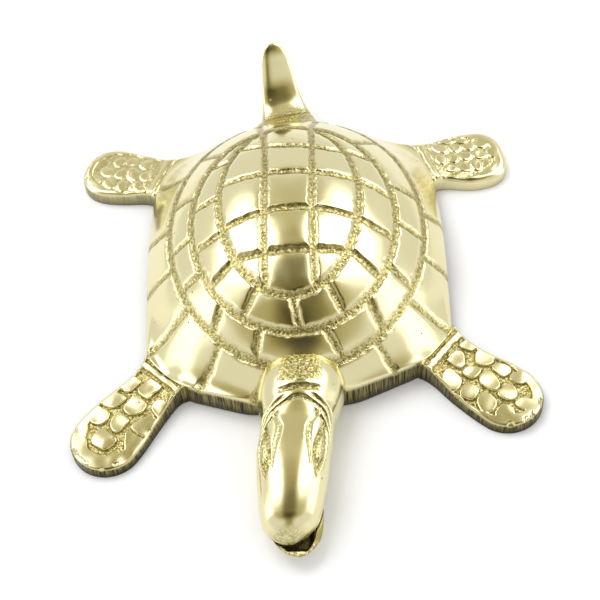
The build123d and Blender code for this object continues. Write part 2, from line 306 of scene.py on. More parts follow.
def shell_grid(columns=512):
    """The whole skin in rows from the crown down the top, round the edge, down the rim's side, under
    it and up the hollow to the crown again, with what each row is: chased, ground or as cast."""
    turn = np.linspace(-np.pi, np.pi, columns, endpoint=False)
    rim = rim_radius(turn)
    foot = hollow_radius(turn)
    less, half = filed_edge
    edge = rim_round - less * np.maximum(near_seats(turn, half, 8), beside_neck(turn))
    flat = (rim - edge) * np.linspace(0.006, 1, 134)[:, None]
    lean = np.linspace(0, np.pi / 2, 8)[1:, None]
    top = np.concatenate([flat, rim - edge + edge * np.sin(lean)])
    height, groove = shell_top(top * np.cos(turn), top * np.sin(turn))
    height[len(flat):] -= edge * (1 - np.cos(lean))
    side = np.linspace(0, 1, 6)[1:, None]
    side_z = height[-1] + (sole_chamfer - height[-1]) * side
    inner = np.linspace(1, 0.01, 30)[:, None] * foot
    inner_z = dome_height(inner * np.cos(turn), inner * np.sin(turn), shell_wall)
    inner_z = np.maximum(inner_z, hollow_chamfer + 0.1)
    rise = np.linspace(0, 1, 7)[:-1, None]
    radius = np.concatenate([
        top, rim + 0 * side_z, [rim - sole_chamfer, foot + hollow_chamfer], foot + 0 * rise, inner
    ])
    wall_z = hollow_chamfer + rise * (inner_z[0] - hollow_chamfer)
    z = np.concatenate([height, side_z, 0 * rim + np.zeros((2, 1)), wall_z, inner_z])
    grid = np.stack([radius * np.cos(turn), shell_y + radius * np.sin(turn), z], axis=-1)
    rows = np.arange(len(z))[:, None] + 0 * turn
    chased = np.zeros_like(z)
    chased[:len(top)] = groove
    # The rim's ground side takes the filed tone, with its painted shade
    ground = 1.0 * ((rows >= len(top)) & (rows <= len(top) + len(side_z)))
    cast = 1.0 * (rows > len(top) + len(side_z))
    return grid, {"chased": chased, "ground": ground, "cast": cast}


def linear(code):
    """sRGB hex to linear RGBA: c / 12.92 up to 0.04045, else ((c + 0.055) / 1.055)^2.4."""
    c = np.array([int(code[i:i + 2], 16) for i in (1, 3, 5)]) / 255
    c = np.where(c <= 0.04045, c / 12.92, ((c + 0.055) / 1.055) ** 2.4)
    return (*c.tolist(), 1.0)


def add(tree, kind, inputs, **settings):
    """Adds one node: settings are its properties; an input takes a link, or else a constant."""
    node = tree.nodes.new(kind)
    for name, value in settings.items():
        setattr(node, name, value)
    for name, value in inputs.items():
        if isinstance(value, bpy.types.NodeSocket):
            tree.links.new(value, node.inputs[name])
        else:
            node.inputs[name].default_value = value
    return node


def new_tree(name):
    """An empty material of this name, its node tree and its shader."""
    material = bpy.data.materials.new(name)
    material.use_nodes = True
    tree = material.node_tree
    return material, tree, tree.nodes["Principled BSDF"]


# Yellow brass, cast, then buffed by hand: the polished top mirrors the room with faint buffing lines
# and some pits, the chased grooves are matted with a punch, the sides are left ground and dull, and
# their dark tone is painted shade, darkest at the foot.
polished_tone = linear("#E5DDB0")
matted_tone = linear("#CFC48C")
matted_dark = linear("#8A7F49")
# Filed tones: file lines on the ground sides, darkened by painted shade, darkest at the foot
filed_bright = linear("#9A8E5C")
filed_shade_dark = linear("#2E2713")
cast_tone = linear("#6A5E38")
mm = 1000.0
matting_size = 0.5
pit_spacing = 5.0
cloud_size = 6.0
buffing_width = 0.22
buffing_length = 6.0
file_line = 0.32
file_length = 8.0
foot_shade = 3.0

hand_brass, tree, shader = new_tree("hand_polished_brass")
place = add(tree, "ShaderNodeTexCoord", {}).outputs["Object"]
chased = add(tree, "ShaderNodeAttribute", {}, attribute_name="chased").outputs["Fac"]
ground = add(tree, "ShaderNodeAttribute", {}, attribute_name="ground").outputs["Fac"]
cast = add(tree, "ShaderNodeAttribute", {}, attribute_name="cast").outputs["Fac"]
matting = add(
    tree, "ShaderNodeTexNoise", {"Vector": place, "Scale": mm / matting_size, "Detail": 2.0}
).outputs["Fac"]
cloud = add(
    tree, "ShaderNodeTexNoise", {"Vector": place, "Scale": mm / cloud_size, "Detail": 3.0}
).outputs["Fac"]
# Buffing runs along the body: short across it, 6 mm along it
buffing_map = add(
    tree, "ShaderNodeMapping",
    {"Vector": place, "Scale": (mm / buffing_width, mm / buffing_length, mm / buffing_width)},
).outputs["Vector"]
buffing = add(tree, "ShaderNodeTexNoise", {"Vector": buffing_map, "Scale": 1.0}).outputs["Fac"]
# File lines stand upright on the ground sides: a third of a millimetre apart, 8 mm tall
file_map = add(
    tree, "ShaderNodeMapping",
    {"Vector": place, "Scale": (mm / file_line, mm / file_line, mm / file_length)},
).outputs["Vector"]
filing = add(
    tree, "ShaderNodeTexNoise", {"Vector": file_map, "Scale": 1.0, "Detail": 2.0}
).outputs["Fac"]
pit_field = add(
    tree, "ShaderNodeTexVoronoi", {"Vector": place, "Scale": mm / pit_spacing}
).outputs["Distance"]
pit = add(
    tree, "ShaderNodeMapRange",
    {"Value": pit_field, "From Min": 0.025, "From Max": 0.05, "To Min": 1.0, "To Max": 0.0},
).outputs["Result"]

# Heights in millimetres where each pattern shows: matting in the grooves and as cast, file lines on
# the ground sides, and buffing and pits all over
relief = 0.0
for pattern, share, height in (
    (matting, chased, 0.20), (matting, cast, 0.20), (filing, ground, 0.12), (buffing, 1.0, 0.002),
    (pit, 1.0, -0.05),
):
    shown = add(tree, "ShaderNodeMath", {0: pattern, 1: share}, operation="MULTIPLY").outputs[0]
    relief = add(
        tree, "ShaderNodeMath", {0: shown, 1: height, 2: relief}, operation="MULTIPLY_ADD"
    ).outputs[0]
bump = add(tree, "ShaderNodeBump", {"Height": relief, "Distance": 1 / mm, "Strength": 1.0})

# Roughness: 0.15 to 0.23 polished, in the clouds that buffing leaves, and more where it is
# matted, ground or as cast
rough = add(
    tree, "ShaderNodeMapRange",
    {"Value": cloud, "From Min": 0.3, "From Max": 0.7, "To Min": 0.15, "To Max": 0.23},
).outputs["Result"]
for share, more in ((chased, 0.10), (ground, 0.22), (cast, 0.34)):
    rough = add(
        tree, "ShaderNodeMath", {0: share, 1: more, 2: rough}, operation="MULTIPLY_ADD"
    ).outputs[0]

file_share = add(
    tree, "ShaderNodeMapRange", {"Value": filing, "From Min": 0.36, "From Max": 0.62}
).outputs["Result"]
# The filed sides darken toward the foot: painted shade where the floor's contact shadow falls
above_foot = add(tree, "ShaderNodeSeparateXYZ", {"Vector": place}).outputs["Z"]
painted_foot_shade = add(
    tree, "ShaderNodeMapRange", {"Value": above_foot, "From Max": foot_shade / mm, "To Min": 0.1}
).outputs["Result"]
file_share = add(
    tree, "ShaderNodeMath", {0: file_share, 1: painted_foot_shade}, operation="MULTIPLY"
).outputs[0]
filed_lines_and_shade = add(
    tree, "ShaderNodeMix", {0: file_share, 6: filed_shade_dark, 7: filed_bright}, data_type="RGBA"
).outputs[2]
grain_share = add(
    tree, "ShaderNodeMapRange", {"Value": matting, "From Min": 0.38, "From Max": 0.6}
).outputs["Result"]
matted = add(
    tree, "ShaderNodeMix", {0: grain_share, 6: matted_dark, 7: matted_tone}, data_type="RGBA"
).outputs[2]
tone = polished_tone
# The ground sides take the filed tone: file lines and painted shade together
for share, darker in ((pit, cast_tone), (chased, matted), (ground, filed_lines_and_shade), (cast, cast_tone)):
    tone = add(
        tree, "ShaderNodeMix", {0: share, 6: tone, 7: darker}, data_type="RGBA"
    ).outputs[2]
tree.links.new(tone, shader.inputs["Base Color"])
tree.links.new(rough, shader.inputs["Roughness"])
tree.links.new(bump.outputs["Normal"], shader.inputs["Normal"])
shader.inputs["Metallic"].default_value = 1.0


def skin(name, grid, marks, material, ring=False):
    """A closed mesh over rows of points in millimetres. Each row is a closed ring, and the ends are
    closed by a fan to their middle, or, for a ring, by joining the last row to the first."""
    rows, columns = grid.shape[:2]
    index = np.arange(rows * columns).reshape(rows, columns)
    if ring:
        index = np.concatenate([index, index[:1]])
    after = np.roll(index, -1, axis=1)
    quads = np.stack([index[:-1], index[1:], after[1:], after[:-1]], axis=-1).reshape(-1, 4)
    faces = quads.tolist()
    points = grid.reshape(-1, 3)
    values = {mark: field.ravel() for mark, field in marks.items()}
    if not ring:
        first, last = rows * columns, rows * columns + 1
        start = np.stack([0 * index[0] + first, index[0], after[0]], axis=-1)
        stop = np.stack([0 * index[0] + last, after[-1], index[-1]], axis=-1)
        faces += start.tolist() + stop.tolist()
        points = np.concatenate([points, [grid[0].mean(0), grid[-1].mean(0)]])
        values = {
            mark: np.concatenate([values[mark], [field[0].mean(), field[-1].mean()]])
            for mark, field in marks.items()
        }
    mesh = bpy.data.meshes.new(name)
    mesh.from_pydata((points / mm).tolist(), [], faces)
    mesh.polygons.foreach_set("use_smooth", [True] * len(mesh.polygons))
    for mark, field in values.items():
        mesh.attributes.new(mark, "FLOAT", "POINT").data.foreach_set(
            "value", field.astype(np.float32)
        )
    mesh.materials.append(material)
    piece = bpy.data.objects.new(name, mesh)
    bpy.context.scene.collection.objects.link(piece)
    return piece


shell = skin("chased_shell", *shell_grid(), hand_brass)
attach(shell, "root")
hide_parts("shell")

# Neck and head: a second casting whose round root sits in a socket at the shell's front, held by a
# tenon. A smooth ridge runs to the snout; folds behind the head, the seam at the collar and the
# almond eyes are chased and matted like the shell's grooves.
front_y = -26.87
head_reach = 34.0
snout_round = 4.2
mouth_ahead = 21.4
mouth_height = 6.2
mouth_gap = 1.4
jaw_underbite = 1.99
jaw_shift = 1.9
head_bend = -1.7
head_curl = 0.0019
bend_ahead = 16.0
eye_ahead = 16.9
eye_turn = 44.0
# The almond's half length and half width, and millimetres per degree round the head there
eye_half = (6.2, 2.2)
eye_arc = 0.128
collar_back = -5.2
head_tenon_end = -8.0
tenon_radius = 3.0
tenon_height = 6.4
seam_ahead = 3.6
seam_depth = 0.5
fold_half = 0.38
fold_depth = 0.5
brow_half = 3.2
brow_depth = 0.40
eye_depth = 0.50
lens_rise = 0.2
snout_drop = 0.55
sole_clear = 0.4
# Folds: where each starts at the top, its sweep forward, and from where to where it runs in degrees
neck_folds = ((4.4, 6.6, 24, 104), (5.6, 7.6, 1, 98), (7.4, 7.6, 26, 92))
# Distance ahead of the shell, then width, height and the axis's height there
neck_stations = np.array([
    (-5.4, 13.0, 11.4, 7.4),
    (-4.2, 15.4, 13.0, 7.4),
    (-2.2, 17.2, 14.0, 7.4),
    (0.0, 18.0, 14.3, 7.4),
    (2.4, 17.9, 13.9, 7.4),
    (5.6, 16.6, 13.2, 7.4),
    (9.0, 15.0, 12.4, 7.4),
    (16.0, 14.9, 13.0, 7.4),
    (23.5, 13.6, 12.0, 7.4),
    (29.4, 11.5, 10.3, 6.8),
    (32.8, 9.2, 8.5, 6.2),
    (34.4, 8.0, 7.5, 5.7),
])


def flow(at, knots, values):
    """A smooth curve through values at knots: cubic spans with slopes taken from the neighbours."""
    slope = np.gradient(values, knots)
    span = np.clip(np.searchsorted(knots, at, side="right") - 1, 0, len(knots) - 2)
    width = knots[span + 1] - knots[span]
    t = np.clip((at - knots[span]) / width, 0, 1)
    rise = values[span + 1] - values[span]
    return (
        values[span]
        + rise * t * t * (3 - 2 * t)
        + width * slope[span] * t * (1 - t) ** 2
        - width * slope[span + 1] * t * t * (1 - t)
    )


def round_end(ahead, stop, length):
    """A quarter of an ellipse: 1 up to length before the stop, then sqrt(1 - t^2) down to 0."""
    t = np.clip((ahead - stop + length) / length, 0, 1)
    return np.sqrt(np.maximum(1 - t * t, 0))


def oval_rows(around, width, height, axis, middle, square=2.4):
    """Ovals |x / a|^n + |z / b|^n = 1 across the length, from the top round by the right."""
    sine, cosine = np.sin(around), np.cos(around)
    x = middle[:, None] + width[:, None] / 2 * np.sign(sine) * np.abs(sine) ** (2 / square)
    z = axis[:, None] + height[:, None] / 2 * np.sign(cosine) * np.abs(cosine) ** (2 / square)
    return x, z


def head_middle(ahead):
    """The head's bend to the left: an even lean up to the brow, and a parabola over the whole."""
    return head_bend * np.clip(ahead / bend_ahead, 0, 1) - head_curl * np.maximum(ahead, 0) ** 2


def station_rows(at, stations, close):
    """Width, height and axis along a piece: smooth curves through its stations, times its round end."""
    width, height, axis = (flow(at, stations[:, 0], stations[:, column]) for column in (1, 2, 3))
    return width * close, height * close, axis


def tenon_rows(ahead, shoulder, radius, width, height, axis, tenon_axis):
    """The same rows, brought down to a round tenon behind the shoulder."""
    behind = ahead < shoulder
    width = np.where(behind, 2 * radius, width)
    height = np.where(behind, 2 * radius, height)
    return width, height, np.where(behind, tenon_axis, axis)


def head_grid(columns=224):
    """Neck and head in rows from the tenon to the snout, with folds, collar seam and eyes pressed in
    along the surface's normal, and the mouth cut flat ahead of the jaw's heel."""
    tip = head_reach - snout_round * (1 - np.sin(np.linspace(0, np.pi / 2 - 0.03, 34)))
    ahead = np.concatenate([
        np.linspace(head_tenon_end, collar_back - 0.05, 8),
        np.linspace(collar_back, head_reach - snout_round, 210)[:-1],
        tip,
    ])
    around = np.linspace(0, 2 * np.pi, columns, endpoint=False)
    close = round_end(ahead, head_reach, snout_round)
    width, height, axis = station_rows(ahead, neck_stations, close)
    width, height, axis = tenon_rows(
        ahead, collar_back, tenon_radius, width, height, axis, tenon_height
    )
    # The crown is flatter behind the eyes than at the neck and the snout
    square = 2.2 + 0.7 * ease(ahead, 6.0, 9.0) * ease(ahead, 33.0, 13.0)
    x, z = oval_rows(around, width, height, axis, head_middle(ahead), square[:, None])
    a = ahead[:, None] + 0 * around
    turn = np.degrees(np.angle(np.exp(1j * around))) + 0 * a
    sideways = np.abs(turn)
    mark = np.zeros_like(a)
    sink = np.zeros_like(a)

    # Collar seam over the top, and folds that sweep forward from it down each side
    seam = np.abs(a - seam_ahead - 0.0004 * turn**2)
    seam_mark = chase(seam, a, turn / 8, 0.5, 21) * ease(sideways, 34, 18)
    for start, sweep, low, high in neck_folds:
        curve = start + sweep * (sideways / 80) ** 1.3
        fold = np.exp(-(((a - curve) / fold_half) ** 2)) * ease(sideways, low - 12, low)
        fold = fold * ease(sideways, high, high - 14)
        sink += fold_depth * fold
        mark = np.maximum(mark, 0.6 * fold)
    # Brow groove that runs from the inner fold in to the ridge and on along the eye
    brow = 31.0 - 16.0 * ease(a, 8.0, 12.5) + 11.0 * ease(a, 13.5, 21.0)
    brow_line = np.exp(-(((sideways - brow) / brow_half) ** 2))
    brow_line = brow_line * ease(a, 7.6, 9.0) * ease(a, 22.0, 19.0)
    sink += brow_depth * brow_line
    mark = np.maximum(mark, 0.7 * brow_line)
    # Eyes: an almond outline and a matted ring round a small lens, which is half matted
    along = (a - eye_ahead) / eye_half[0]
    across = (sideways - eye_turn + 2.5 * along) * eye_arc / eye_half[1]
    almond = 1 - along**2 - np.abs(across)
    lens = 1 - (along / 0.5) ** 2 - (across / 0.52) ** 2
    ring = ease(almond, -0.08, 0.1) * ease(lens, 0.3, -0.1)
    sink += eye_depth * ring - lens_rise * ease(lens, -0.1, 0.9)
    mark = np.maximum(mark, np.maximum(ring, 0.6 * ease(lens, -0.2, 0.3)))
    mark = np.maximum(mark, np.maximum(seam_mark, 0.7 * ease(a, 31.6, 33.6)))
    # The collar's back is matted, where the wheel couldn't reach in under the dome
    back = ease(a, 2.6, 1.2) * ease(sideways, 30, 20)
    mark = np.maximum(mark, back)
    sink += seam_depth * seam_mark
    sink += 0.07 * mark * ripple(a, turn / 8, 0.9, 22)
    shown = ease(a, -5.0, -4.0)
    x -= sink * shown * np.sin(around)
    z -= sink * shown * np.cos(around)

    floor = np.where(a > mouth_ahead, mouth_height, -9.0)
    floor = floor - snout_drop * ease(a, 30.0, head_reach)
    cut = z < floor
    z = np.maximum(z, floor)
    z = np.maximum(z, sole_clear)
    grid = np.stack([x, front_y - a, z], axis=-1)
    return grid, {"chased": mark * shown, "ground": 0 * a, "cast": 1.0 * cut}


head = skin("neck_and_head", *head_grid(), hand_brass)
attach(head, "root")
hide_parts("head")

# Lower jaw: a thin trough of brass pegged under the muzzle. It stands out past the snout and drops
# open more on the right, so the dark mouth shows there behind its lip.
jaw_slimmer = (2.8, 1.0)
dowel_length = 4.0
dowel_radius = 1.2
dowel_height = 3.8
trough_depth = 1.7
right_drop = 0.5
jaw_clear = 0.8


def jaw_grid(columns=160):
    """The lower half of the muzzle's ovals, moved forward, with its top on a plane that falls to the
    snout and a trough pressed into it inside the lip."""
    reach = head_reach + jaw_underbite
    tip = reach - snout_round * (1 - np.sin(np.linspace(0, np.pi / 2 - 0.03, 30)))
    ahead = np.concatenate([
        np.linspace(mouth_ahead - dowel_length, mouth_ahead - 0.05, 5),
        np.linspace(mouth_ahead, reach - snout_round, 70)[:-1],
        tip,
    ])
    around = np.linspace(0, 2 * np.pi, columns, endpoint=False)
    close = round_end(ahead, reach, snout_round)
    forward = np.clip((ahead - mouth_ahead) / (reach - mouth_ahead), 0, 1)
    slimmer = jaw_slimmer[0] + (jaw_slimmer[1] - jaw_slimmer[0]) * forward
    width, height, axis = station_rows(ahead - jaw_underbite, neck_stations, close)
    width, height, axis = tenon_rows(
        ahead, mouth_ahead, dowel_radius, width - slimmer * close, height, axis, dowel_height
    )
    middle = head_middle(ahead) + jaw_shift * forward
    x, z = oval_rows(around, width, height, axis, middle)
    a = ahead[:, None] + 0 * around
    drop = mouth_gap * forward[:, None]
    side = (x - middle[:, None]) / np.maximum(width[:, None] / 2, 0.3)
    top = mouth_height - 0.05 - drop - right_drop * ease(side, -0.2, 0.9) * forward[:, None]
    inside = ease(np.abs(side), 0.76, 0.5) * ease(a, reach - 0.9, reach - 2.4)
    trough = trough_depth * inside * ease(a, mouth_ahead, mouth_ahead + 2.0)
    cut = (z > top) & (a >= mouth_ahead)
    z = np.where(a >= mouth_ahead, np.minimum(z, top - trough), z)
    grid = np.stack([x, front_y - a, np.maximum(z, jaw_clear)], axis=-1)
    dark = 1.0 * cut * ease(inside, 0.05, 0.5)
    return grid, {"chased": 0.8 * ease(a, reach - 4.0, reach - 1.5), "ground": 0 * a, "cast": dark}


jaw = skin("lower_jaw_trough", *jaw_grid(), hand_brass)
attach(jaw, "root")
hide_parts("lower_jaw")

# Tail: a flat horn of cast brass that rises to a round tip and leans to the left, tenoned into the
# shell's rear. A matted groove runs round its foot.
rear_y = 47.33
tail_reach = 15.6
tail_turn = np.radians(11.0)
tail_lean = 0.3
tail_shift = 0.75
tail_round = 0.2
tail_square = 3.2
tail_back = -5.0
tail_tenon_end = -9.6
foot_depth = 0.45
foot_half = 0.4
# Share of the reach, width, thickness and the axis's height
tail_stations = np.array([
    (-0.32, 18.0, 8.4, 6.0),
    (-0.12, 16.4, 7.6, 6.0),
    (0.0, 14.2, 6.4, 6.0),
    (0.14, 12.2, 5.0, 6.1),
    (0.3, 10.4, 4.0, 6.8),
    (0.5, 8.8, 3.6, 8.9),
    (0.75, 7.0, 4.0, 13.2),
    (1.0, 5.6, 4.8, 17.9),
])


def tail_grid(columns=128):
    """The horn in rows from the tenon to its tip, each an oval, turned in plan about its foot."""
    reach = np.concatenate([
        np.linspace(tail_tenon_end, tail_back - 0.05, 6),
        np.linspace(tail_back, (1 - tail_round) * tail_reach, 110)[:-1],
        tail_reach * (1 - tail_round + tail_round * np.sin(np.linspace(0, np.pi / 2 - 0.03, 26))),
    ])
    share = reach / tail_reach
    around = np.linspace(0, 2 * np.pi, columns, endpoint=False)
    close = round_end(share, 1.0, tail_round)
    width, height, axis = station_rows(share, tail_stations, close)
    width, height, axis = tenon_rows(
        reach, tail_back, tenon_radius, width, height, axis, tenon_height
    )
    x, z = oval_rows(around, width, height, axis, tail_lean * share - tail_shift, tail_square)
    along = reach[:, None] + 0 * around
    foot = np.minimum(np.abs(along - 1.5), np.abs(along + 0.4) + 0.2)
    mark = chase(foot, x, z, foot_half, 31)
    mark = np.maximum(mark, 0.75 * ease(along, 4.6, 1.2))
    sink = foot_depth * mark * close[:, None]
    x -= sink * np.sin(around)
    z -= sink * np.cos(around)
    swing = tail_turn * ease(along, -0.5, 2.5)
    grid = np.stack([
        x * np.cos(swing) - along * np.sin(swing),
        rear_y + x * np.sin(swing) + along * np.cos(swing),
        z,
    ], axis=-1)
    # Rows run to the rear here, so the columns are turned round to keep the faces outwards
    marks = {"chased": mark, "ground": 0 * along, "cast": 0 * along}
    return grid[:, ::-1], {name: field[:, ::-1] for name, field in marks.items()}


tail = skin("tail_horn", *tail_grid(), hand_brass)
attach(tail, "root")
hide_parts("tail")

# Flippers: four flat brass paddles with a tenon each, filed by hand to their own lengths. Their tops
# carry scales left standing in a matted ground, inside two root grooves and a border at the tip.
flipper_top = 4.1
relief_depth = 0.75
blade_droop = 0.040
side_margin = 0.75
nick_depth = 0.45
flare_length = 2.4
skew_length = 6.0
under_shell = 0.12
root_lift = 0.3
root_sink = 0.5
# For a flat relief, and what a crisp one adds: the blade's crowning, the length over which the root's
# height fades, and where a scale is flat on top
blade_crown = (0.3, 0.5)
root_fade = (2.6, 1.6)
scale_crown = (0.6, -0.35)
root_back = -3.0
flipper_tenon_end = -10.1
# Where the two root grooves cross the middle, how they bow across the blade, and their half width
root_lines = (0.1, 2.3)
root_bow = 0.012
root_line_half = 0.36
# Unevenness and its pitch: of the field's margin, the scales' places, the matted ground, the blade's
# top, and the field where the relief is flat
margin_wander = (0.15, 3.0)
scale_wander = (0.4, 6.5)
ground_marks = (0.05, 1.2)
blade_waves = (0.05, 5.0)
field_waves = (0.025, 2.6)
nick_pitch = 3.2
# The tenon's width, its underside and its top
tenon_size = (7.0, 1.3, 3.3)
# Length, waist, blade width, border at the tip, depth of the relief, how much the side was filed, the
# rounding of the top edge and the squareness of the tip
blades = {
    "front_right": (25.0, 11.4, 15.0, 2.4, 1.0, 1.0, 0.7, 2.0),
    "front_left": (27.0, 10.4, 15.2, 3.4, 1.0, 1.0, 0.7, 2.0),
    "rear_right": (20.0, 11.2, 15.4, 2.6, 0.28, 0.12, 1.5, 2.7),
    "rear_left": (20.6, 10.8, 14.4, 2.2, 0.12, 0.7, 1.3, 2.2),
}
# Each blade's sideways shift at the root and at the tip, its flare at the root on either side, and how
# far the root runs out further on one side than on the other
sways = {
    "front_right": (0.8, 0.0, 0.6, 1.3, 0.0),
    "front_left": (0.0, -0.5, 1.2, 1.4, 2.2),
    "rear_right": (0.4, -0.3, 1.2, 0.7, -2.2),
    "rear_left": (-0.4, 0.0, 0.7, 1.2, 1.9),
}
# Scales of each flipper as rows of (first u, pitch, count, v, half length, half width, squareness)
scale_rows = {
    "front_left": [(5.0, 5.0, 4, -0.2, 2.2, 2.2, 3.6), (7.5, 4.8, 3, 4.9, 2.1, 2.1, 3.8),
                   (6.6, 4.8, 3, -5.0, 2.1, 2.1, 3.8)],
    "front_right": [(4.4, 4.3, 5, 0.4, 2.0, 1.85, 2.8), (4.6, 4.3, 4, 4.7, 1.95, 1.75, 3.0),
                    (6.6, 4.3, 4, -4.0, 2.0, 1.8, 2.9)],
    "rear_right": [(4.4, 3.2, 5, 0.0, 1.75, 1.55, 1.8), (6.0, 3.2, 4, 3.0, 1.75, 1.5, 1.8),
                   (6.0, 3.2, 3, -3.0, 1.75, 1.5, 1.8), (4.4, 3.2, 4, 5.4, 1.7, 1.0, 1.8)],
    "rear_left": [(4.8, 3.3, 4, 0.4, 1.75, 1.65, 1.9), (6.4, 3.3, 4, 3.7, 1.75, 1.6, 1.9),
                  (6.4, 3.3, 3, -3.3, 1.75, 1.6, 1.9)],
}


def blade_half(u, length, root, blade, square):
    """Half width along a blade: root to blade by a smooth step, then a tip (1 - t^n)^(1 / n)."""
    shoulder = length - blade
    swell = root + (blade - root) * ease(u, 0, shoulder)
    t = np.clip((u - shoulder) / blade, 0, 1)
    return swell * (1 - t**square) ** (1 / square)


def standing_scales(u, v, rows, crown):
    """How far a point stands on a scale, 0 to 1: the most of 1 - |du/a|^n - |dv/b|^n over them all,
    flat on top once that passes the crown."""
    most = np.full_like(u, -1.0)
    for first, pitch, count, middle, half_u, half_v, square in rows:
        for number in range(count):
            du = np.abs((u - first - pitch * number) / half_u)
            dv = np.abs((v - middle) / half_v)
            most = np.maximum(most, 1 - du**square - dv**square)
    return ease(most, -0.25, crown)


def flipper_grid(name, seed):
    """One flipper in rows from the tenon's end to the tip. Each row is a rounded rectangle: across the
    top with its relief, down one filed side, back underneath and up the other side."""
    length, waist, blade_width, border, depth, filed, rounding, square = blades[name]
    root_sway, tip_sway, flare_low, flare_high, skew = sways[name]
    crisp = ease(depth, 0.1, 0.9)
    crowning = blade_crown[0] + blade_crown[1] * crisp
    x0, y0, direction = seats[name][:3]
    way = np.radians(direction)
    blade = blade_width / 2
    shoulder = length - blade
    u = np.concatenate([
        np.linspace(flipper_tenon_end, root_back - 0.05, 6),
        np.linspace(root_back, shoulder, 150)[:-1],
        shoulder + blade * np.sin(np.linspace(0, np.pi / 2 - 0.02, 70)),
    ])[:, None]
    half = blade_half(u, length, waist / 2, blade, square)
    tenon = u < root_back - 0.02
    half = np.where(tenon, tenon_size[0] / 2, half)
    # Inside the rim the root's underside is let up, clear of the sole
    bottom = np.where(tenon, tenon_size[1], root_lift * ease(u, -0.3, -0.9))
    f_top = np.linspace(1, -1, 132)
    f_side = np.ones(6)
    f_under = np.linspace(-0.97, 0.97, 18)
    f = np.concatenate([f_top, -f_side, f_under, f_side])
    down = np.concatenate([0 * f_top, np.linspace(0.1, 1, 6), 0 * f_under + 1, np.linspace(1, 0.1, 6)])
    on_top = np.arange(len(f)) < len(f_top)
    uu = u + 0 * f
    w = f * half
    # The flare fills the corner with the rim, and the sway sets the blade off its seat's middle
    flare = np.where(f > 0, flare_high, flare_low) * np.exp(-np.maximum(u + 0.5, 0) / flare_length)
    flare = flare * ease(u, -2.4, -0.5)
    v = w + f * flare + ~tenon * (root_sway * ease(u, 9.0, 0.0) + tip_sway * ease(u, 4.0, 14.0))
    reach = (np.maximum(uu - shoulder, 0) ** square + np.abs(w) ** square) ** (1 / square)
    edge = np.where(uu < shoulder, (1 - np.abs(f)) * (half + flare), blade - reach)
    # The root starts at the shell's own height along the seat and runs out into the blade, which
    # droops a little to its tip
    run_out = np.abs(skew) * (0.5 + 0.5 * np.sign(skew) * f)
    run_out = run_out * np.exp(-np.maximum(u, 0) / skew_length) * ~tenon
    along_seat = shell_body(
        x0 + run_out * np.cos(way) - v * np.sin(way), y0 + run_out * np.sin(way) + v * np.cos(way)
    ) - under_shell
    top = flipper_top - blade_droop * np.maximum(uu - 3.0, 0)
    fade = np.exp(-np.maximum(uu, 0) / (root_fade[0] + root_fade[1] * crisp))
    top = top + np.maximum(along_seat - flipper_top, 0) * fade
    top = top - root_sink * ease(uu, 0.0, -0.8)
    # Field of scales between the second root groove and the border at the tip
    margin = side_margin + (border - side_margin) * ease(uu, shoulder - 4.5, shoulder + 2.5)
    margin = margin + margin_wander[0] * ripple(uu, w, margin_wander[1], seed)
    field = ease(edge, margin - 0.1, margin + 0.35) * ease(uu, 2.5, 3.0)
    wander = scale_wander[0] * ripple(uu, w, scale_wander[1], seed + 1)
    crown = scale_crown[0] + scale_crown[1] * crisp
    scale = standing_scales(uu - wander, w + wander, scale_rows[name], crown)
    bowed_u = uu - root_bow * w**2
    root_line = np.minimum(np.abs(bowed_u - root_lines[0]), np.abs(bowed_u - root_lines[1]))
    root_groove = chase(root_line, uu, w, root_line_half, seed + 2) * ease(edge, 0.1, 0.9)
    chased = np.maximum(field * (1 - scale), root_groove) * on_top * ease(uu, -0.4, -0.1)
    rough_cut = ground_marks[0] * crisp * ripple(uu, w, ground_marks[1], seed + 3) * chased
    drop = (relief_depth * depth + rough_cut) * chased + crowning * (w / blade) ** 2 * ease(uu, 0, 4)
    drop = drop + blade_waves[0] * (1 + ripple(uu, w, blade_waves[1], seed + 4)) * ease(uu, 0, 4)
    waves = field_waves[0] * (1 - crisp) * (1 + ripple(uu, w, field_waves[1], seed + 6))
    drop = drop + waves * field
    nick = ease(ripple(uu, w, nick_pitch, seed + 5), 0.45, 1.0) * ease(edge, 1.5, 0.3) * filed
    drop = drop + nick_depth * nick * (uu > shoulder)
    lean = np.clip(1 - edge / rounding, 0, 1)
    drop = drop + rounding * (1 - np.sqrt(1 - lean**2)) * ~tenon
    z = top - drop
    z = z + (bottom - z) * down
    plain_top = tenon_size[2]
    z = np.where(tenon, np.where(on_top, plain_top, plain_top + (bottom - plain_top) * down), z)
    grid = np.stack([
        x0 + (uu + run_out) * np.cos(way) - v * np.sin(way),
        shell_y + y0 + (uu + run_out) * np.sin(way) + v * np.cos(way),
        z,
    ], axis=-1)
    # The filed sides and the top's edge take the filed tone, with its painted shade
    ground = np.where(on_top, ease(edge, 0.3, 0.05), 1.0) * filed
    matt = (0.3 + 0.7 * crisp) * ease(chased, 0.2 * crisp, 0.8)
    marks = {"chased": np.maximum(matt, 0.7 * nick * (uu > shoulder) * on_top),
             "ground": ground + 0 * uu, "cast": 1.0 * tenon + 0 * uu}
    return grid, marks


for number, name in enumerate(seats):
    flipper = skin(name + "_paddle", *flipper_grid(name, 40 + 10 * number), hand_brass)
    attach(flipper, "root")
    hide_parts(name + "_flipper")

